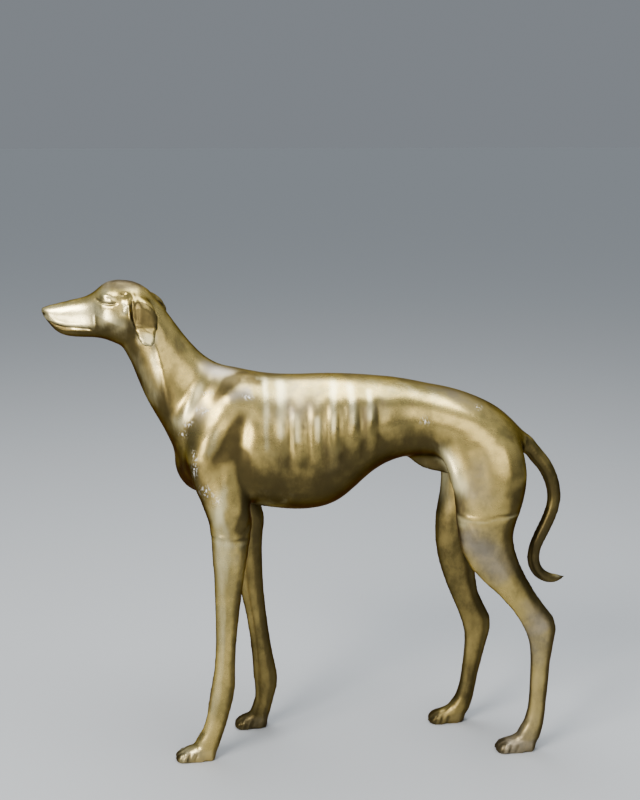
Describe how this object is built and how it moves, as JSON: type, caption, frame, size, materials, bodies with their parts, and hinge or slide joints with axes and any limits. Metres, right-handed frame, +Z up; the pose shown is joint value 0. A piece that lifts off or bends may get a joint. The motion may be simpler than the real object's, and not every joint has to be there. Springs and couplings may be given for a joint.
{
  "type": "greyhound statue",
  "caption": "Standing sighthound figure, a hollow casting in aged polished brass, with a long level head, arched loin, showing ribs and a tail hooked up at its tip.",
  "frame": {"origin": "centre of the bounding box in plan, at the soles of the paws", "axes": "the dog faces -X, its left side is towards -Y, +Z is up"},
  "size_m": [0.753, 0.1559, 0.6999],
  "materials": {
    "brass": "aged polished brass with brown stains and grey oxide"
  },
  "bodies": {
    "root": {"greyhound": "brass"}
  },
  "joints": []
}
